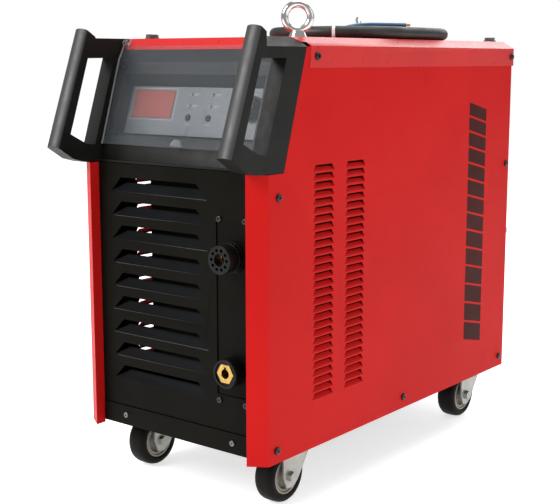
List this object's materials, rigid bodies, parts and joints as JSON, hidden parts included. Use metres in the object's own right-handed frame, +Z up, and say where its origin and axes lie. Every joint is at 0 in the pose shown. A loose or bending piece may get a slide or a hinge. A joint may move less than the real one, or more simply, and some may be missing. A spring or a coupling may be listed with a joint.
{
  "type": "plasma cutter unit",
  "caption": "Inverter plasma cutter: louvred steel cabinet on swivel castors, sloping control head with grab handles and hinged clear visor, front torch and earth sockets, coiled supply cable.",
  "frame": {"origin": "on the floor under the middle of the unit", "axes": "+X to the unit's right as seen from the front, +Y towards its rear, +Z up"},
  "size_m": [0.352, 0.9142, 0.703],
  "materials": {
    "red_paint": "gloss",
    "black_paint": "satin",
    "black_plastic": "satin",
    "dark_gloss": "gloss",
    "display": "gloss",
    "led_lens": "gloss",
    "clear": "gloss",
    "zinc": "satin",
    "black_screw": "satin",
    "brass": "satin",
    "copper": "satin",
    "tyre": "matte",
    "rim": "satin",
    "circuit_board": "satin",
    "aluminium": "satin",
    "core_steel": "matte",
    "capacitor_sleeve": "gloss",
    "cable_rubber": "matte",
    "core_insulation": "satin"
  },
  "bodies": {
    "cabinet": {"base_pan": "black_paint", "cable_cores": "core_insulation", "cable_gland": "black_plastic", "capacitors": "capacitor_sleeve", "castor_plates": "zinc", "chassis_divider": "black_paint", "control_board": "circuit_board", "control_fascia": "dark_gloss", "display_window": "display", "earth_socket_body": "black_plastic", "earth_socket_contact": "brass", "eye_bolts": "zinc", "fan_frame": "black_plastic", "fan_guard": "black_paint", "filter_bowl": "clear", "front_panel": "black_paint", "head_frame": "black_plastic", "heatsink": "aluminium", "inverter_board": "circuit_board", "left_handle_cheek": "black_plastic", "left_side_panel": "red_paint", "lifting_plugs": "zinc", "mains_cable_coil": "cable_rubber", "mains_cable_lead": "cable_rubber", "mains_switch_body": "black_plastic", "panel_screws": "black_screw", "plated_screws": "zinc", "rear_panel": "black_paint", "regulator_body": "aluminium", "right_handle_cheek": "black_plastic", "right_side_panel": "red_paint", "side_screws": "black_screw", "socket_plate": "black_paint", "solenoid_valve": "brass", "status_leds": "led_lens", "top_cover": "red_paint", "torch_connector_body": "black_plastic", "torch_connector_contact": "copper", "transformer_core": "core_steel", "transformer_winding": "copper", "visor_hinge_pins": "zinc"},
    "castor_front_right": {"castor_fork_front_right": "zinc"},
    "wheel_front_right": {"wheel_rim_front_right": "rim", "wheel_tyre_front_right": "tyre"},
    "castor_front_left": {"castor_fork_front_left": "zinc"},
    "wheel_front_left": {"wheel_rim_front_left": "rim", "wheel_tyre_front_left": "tyre"},
    "castor_rear_right": {"castor_fork_rear_right": "zinc"},
    "wheel_rear_right": {"wheel_rim_rear_right": "rim", "wheel_tyre_rear_right": "tyre"},
    "castor_rear_left": {"castor_fork_rear_left": "zinc"},
    "wheel_rear_left": {"wheel_rim_rear_left": "rim", "wheel_tyre_rear_left": "tyre"},
    "visor": {"visor": "clear"},
    "button_left": {"button_left": "black_plastic"},
    "button_right": {"button_right": "black_plastic"},
    "encoder_knob": {"encoder_knob": "black_plastic"},
    "fan_rotor": {"fan_rotor": "black_plastic"},
    "regulator_knob": {"regulator_knob": "black_plastic"},
    "mains_switch_knob": {"mains_switch_knob": "black_plastic"}
  },
  "joints": [
    {"name": "castor_swivel_front_right", "type": "hinge", "parent": "cabinet", "child": "castor_front_right", "pos_m": [0.126, -0.20897, 0.082], "axis": [0, 0, 1], "continuous": true},
    {"name": "wheel_roll_front_right", "type": "hinge", "parent": "castor_front_right", "child": "wheel_front_right", "pos_m": [0.126, -0.24497, 0.04], "axis": [1, 0, 0], "continuous": true},
    {"name": "castor_swivel_front_left", "type": "hinge", "parent": "cabinet", "child": "castor_front_left", "pos_m": [-0.126, -0.20897, 0.082], "axis": [0, 0, 1], "continuous": true},
    {"name": "wheel_roll_front_left", "type": "hinge", "parent": "castor_front_left", "child": "wheel_front_left", "pos_m": [-0.126, -0.24497, 0.04], "axis": [1, 0, 0], "continuous": true},
    {"name": "castor_swivel_rear_right", "type": "hinge", "parent": "cabinet", "child": "castor_rear_right", "pos_m": [0.126, 0.29803, 0.082], "axis": [0, 0, 1], "continuous": true},
    {"name": "wheel_roll_rear_right", "type": "hinge", "parent": "castor_rear_right", "child": "wheel_rear_right", "pos_m": [0.126, 0.26203, 0.04], "axis": [1, 0, 0], "continuous": true},
    {"name": "castor_swivel_rear_left", "type": "hinge", "parent": "cabinet", "child": "castor_rear_left", "pos_m": [-0.126, 0.29803, 0.082], "axis": [0, 0, 1], "continuous": true},
    {"name": "wheel_roll_rear_left", "type": "hinge", "parent": "castor_rear_left", "child": "wheel_rear_left", "pos_m": [-0.126, 0.26203, 0.04], "axis": [1, 0, 0], "continuous": true},
    {"name": "visor_hinge", "type": "hinge", "parent": "cabinet", "child": "visor", "pos_m": [0, -0.26847, 0.648], "axis": [-1, 0, 0], "range_deg": [0, 100]},
    {"name": "button_left_press", "type": "slide", "parent": "cabinet", "child": "button_left", "axis": [0, 0.9472, -0.3206], "range_m": [0, 0.001], "stiffness_N_per_m": 900},
    {"name": "button_right_press", "type": "slide", "parent": "cabinet", "child": "button_right", "axis": [0, 0.9472, -0.3206], "range_m": [0, 0.001], "stiffness_N_per_m": 900},
    {"name": "encoder_turn", "type": "hinge", "parent": "cabinet", "child": "encoder_knob", "pos_m": [0.106, -0.2745, 0.55723], "axis": [0, -0.9472, 0.3206], "continuous": true},
    {"name": "fan_spin", "type": "hinge", "parent": "cabinet", "child": "fan_rotor", "pos_m": [-0.05, 0.32003, 0.272], "axis": [0, 1, 0], "continuous": true},
    {"name": "regulator_turn", "type": "hinge", "parent": "cabinet", "child": "regulator_knob", "pos_m": [0.104, 0.37993, 0.367], "axis": [0, 0, 1], "range_deg": [0, 1080]},
    {"name": "mains_switch_turn", "type": "hinge", "parent": "cabinet", "child": "mains_switch_knob", "pos_m": [0.088, 0.36503, 0.522], "axis": [0, 1, 0], "range_deg": [0, 90]}
  ]
}
